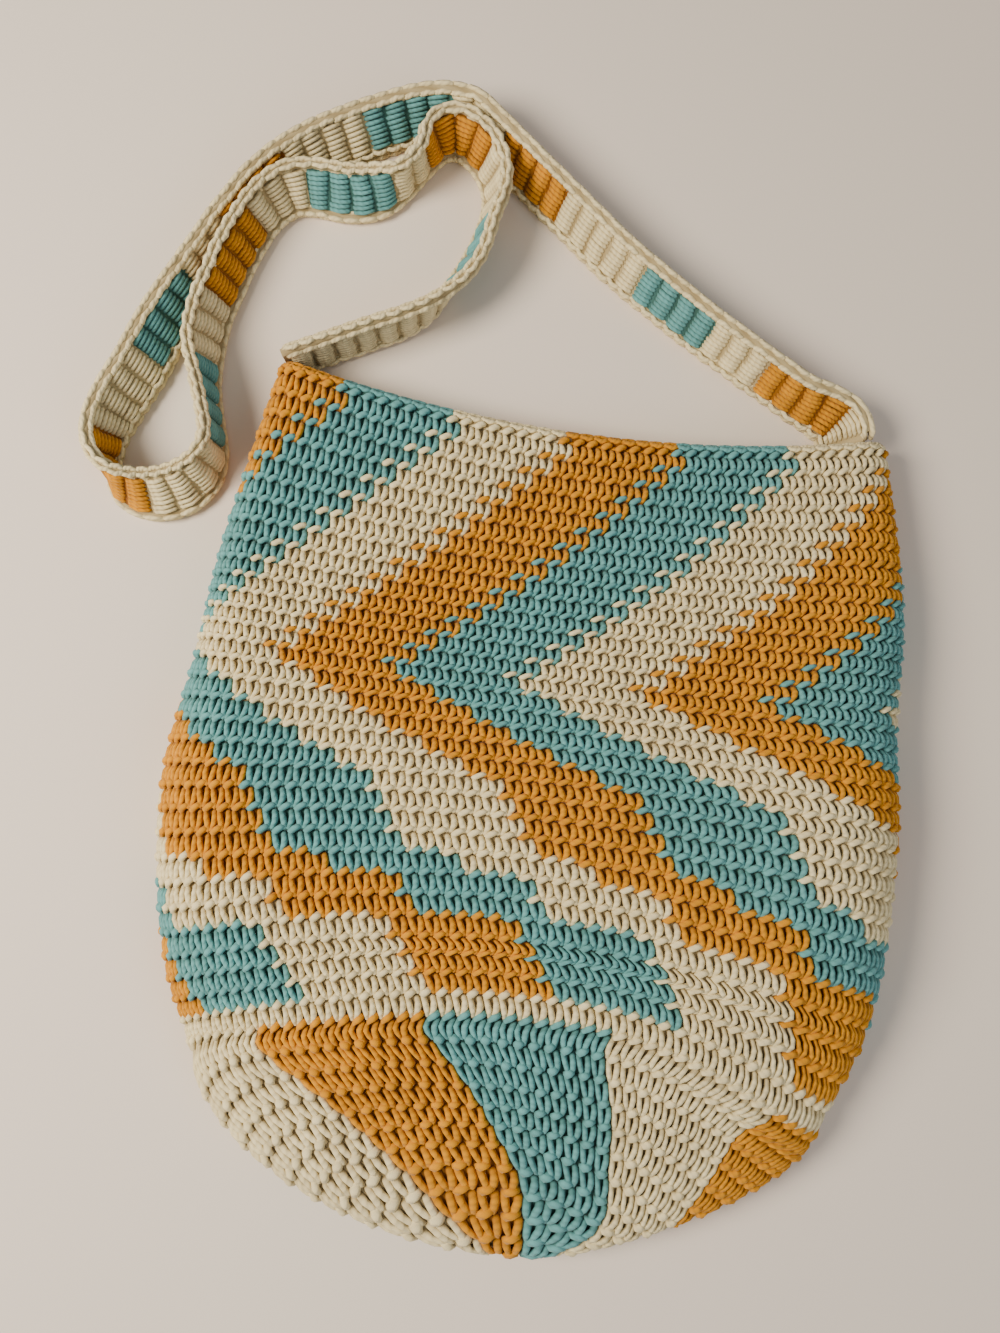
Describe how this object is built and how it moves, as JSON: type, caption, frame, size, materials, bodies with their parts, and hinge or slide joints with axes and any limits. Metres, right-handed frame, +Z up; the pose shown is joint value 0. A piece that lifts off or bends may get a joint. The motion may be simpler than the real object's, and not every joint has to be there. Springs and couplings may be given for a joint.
{
  "type": "crochet shoulder bag",
  "caption": "Round-bottomed crochet shoulder bag in three yarn colours, lying on its back, with a flat patterned strap standing on edge in loops.",
  "frame": {"origin": "point of the flat back panel that the bag lies on, in the middle of its body", "axes": "+X across the bag to the right, +Y along the bag towards its mouth, +Z up from the surface it lies on"},
  "size_m": [0.3576, 0.5068, 0.045],
  "materials": {
    "cotton_teal": "matt twisted cotton yarn, grey teal",
    "cotton_mustard": "matt twisted cotton yarn, mustard",
    "cotton_cream": "matt twisted cotton yarn, cream"
  },
  "bodies": {
    "root": {"bag_side": "cotton_teal", "bag_base": "cotton_mustard", "mouth_edging": "cotton_mustard", "strap_band": "cotton_cream", "strap_edging_upper": "cotton_cream", "strap_edging_lower": "cotton_cream"}
  },
  "joints": []
}
